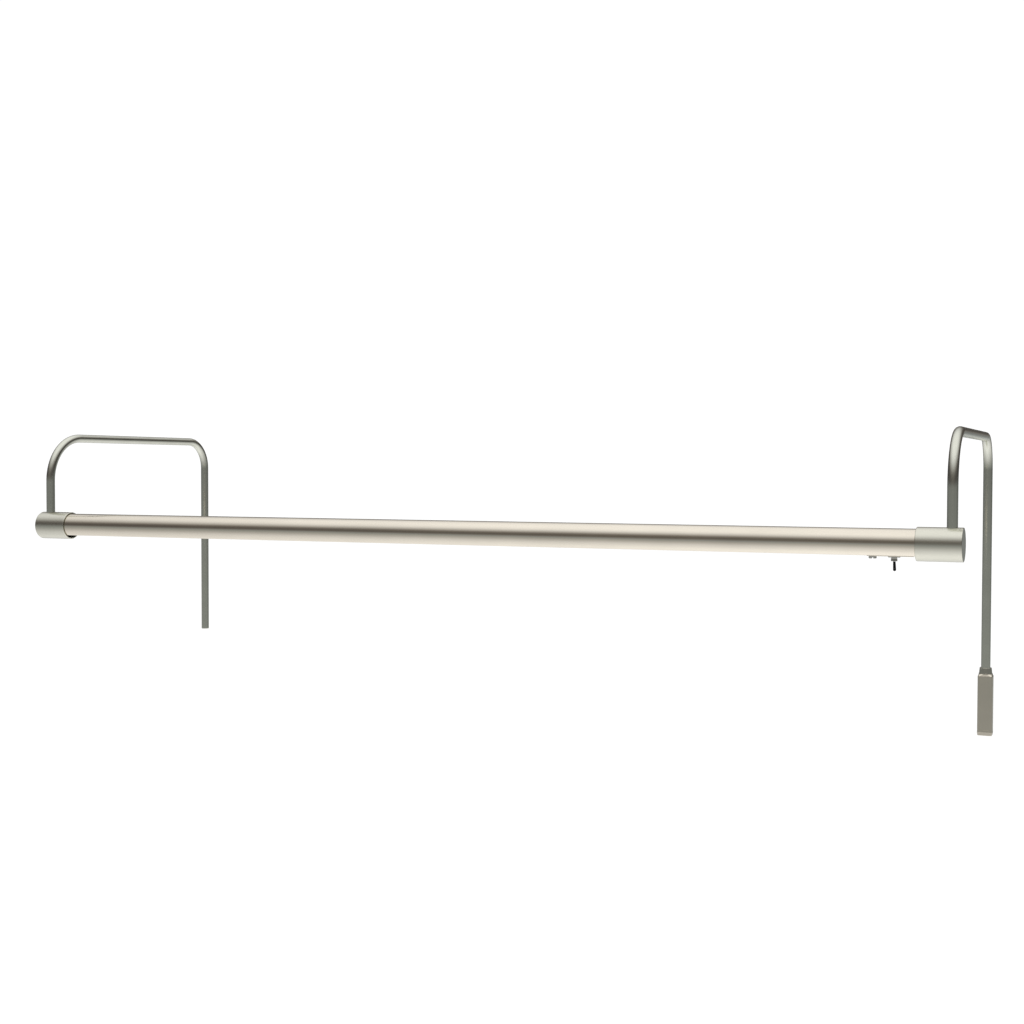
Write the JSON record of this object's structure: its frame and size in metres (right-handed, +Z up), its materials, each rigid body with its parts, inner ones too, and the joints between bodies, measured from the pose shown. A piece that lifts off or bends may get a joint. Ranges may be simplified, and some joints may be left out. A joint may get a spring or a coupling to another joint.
{
  "type": "light bar",
  "caption": "Slim tubular light bar with cup end caps, hung between two bent round arms, with a toggle switch underneath and a square inlet housing at one leg.",
  "frame": {"origin": "centre of the left leg's lower end, where the leg goes into its holder", "axes": "+X along the bar from the left leg to the right leg, +Y from the lamp back to the legs, +Z up along the legs"},
  "size_m": [1.07, 0.3369, 0.3378],
  "materials": {
    "arm_nickel": "satin",
    "cap_nickel": "satin",
    "housing_nickel": "satin",
    "tube_champagne": "satin anodised",
    "plate_champagne": "satin anodised",
    "opal": "frosted",
    "raw_aluminium": "mill",
    "board_white": "satin",
    "led_yellow": "gloss",
    "zinc_steel": "plated",
    "black_plastic": "moulded",
    "black_steel": "blackened",
    "tinned_brass": "tinned",
    "nylon": "moulded",
    "lead_jacket": "matte"
  },
  "bodies": {
    "left_hanger": {"arm_left": "arm_nickel", "cap_left": "cap_nickel", "arm_grub_left": "black_steel", "swivel_stud_left": "zinc_steel", "swivel_nut_left": "zinc_steel", "wave_washer_left": "zinc_steel", "leg_plug": "black_plastic"},
    "lamp": {"lamp_tube": "tube_champagne", "diffuser": "opal", "control_plate": "plate_champagne", "led_carrier": "raw_aluminium", "led_board": "board_white", "led_chips": "led_yellow", "plate_screw": "zinc_steel", "plate_nut_bar": "zinc_steel", "switch_body": "black_plastic", "switch_bushing": "zinc_steel", "lever_pin": "zinc_steel", "switch_terminals": "tinned_brass", "switch_washer": "zinc_steel", "switch_nut": "zinc_steel", "lamp_leads": "lead_jacket", "end_plug_left": "raw_aluminium", "swivel_bush_left": "nylon", "plug_screws_left": "zinc_steel", "end_plug_right": "raw_aluminium", "swivel_bush_right": "nylon", "plug_screws_right": "zinc_steel"},
    "right_hanger": {"arm_right": "arm_nickel", "cap_right": "cap_nickel", "arm_grub_right": "black_steel", "swivel_stud_right": "zinc_steel", "swivel_nut_right": "zinc_steel", "wave_washer_right": "zinc_steel", "arm_leads": "lead_jacket", "inlet_collar": "cap_nickel", "inlet_housing": "housing_nickel", "inlet_grub": "black_steel", "inlet_foot": "housing_nickel", "foot_screws": "zinc_steel", "dc_socket": "black_plastic", "dc_contacts": "tinned_brass"},
    "lever": {"switch_lever": "black_plastic"}
  },
  "joints": [
    {"name": "lamp_tilt", "type": "hinge", "parent": "left_hanger", "child": "lamp", "pos_m": [0.0216, -0.3127, 0.156], "axis": [1, 0, 0], "range_deg": [-90, 90]},
    {"name": "right_swivel", "type": "hinge", "parent": "lamp", "child": "right_hanger", "pos_m": [1.0276, -0.3127, 0.156], "axis": [1, 0, 0], "range_deg": [-90, 90]},
    {"name": "switch_throw", "type": "hinge", "parent": "lamp", "child": "lever", "pos_m": [0.9971, -0.3127, 0.1436], "axis": [1, 0, 0], "range_deg": [-28, 0]}
  ],
  "couplings": [
    {"joint": "right_swivel", "follows": "lamp_tilt", "ratio": -1}
  ]
}
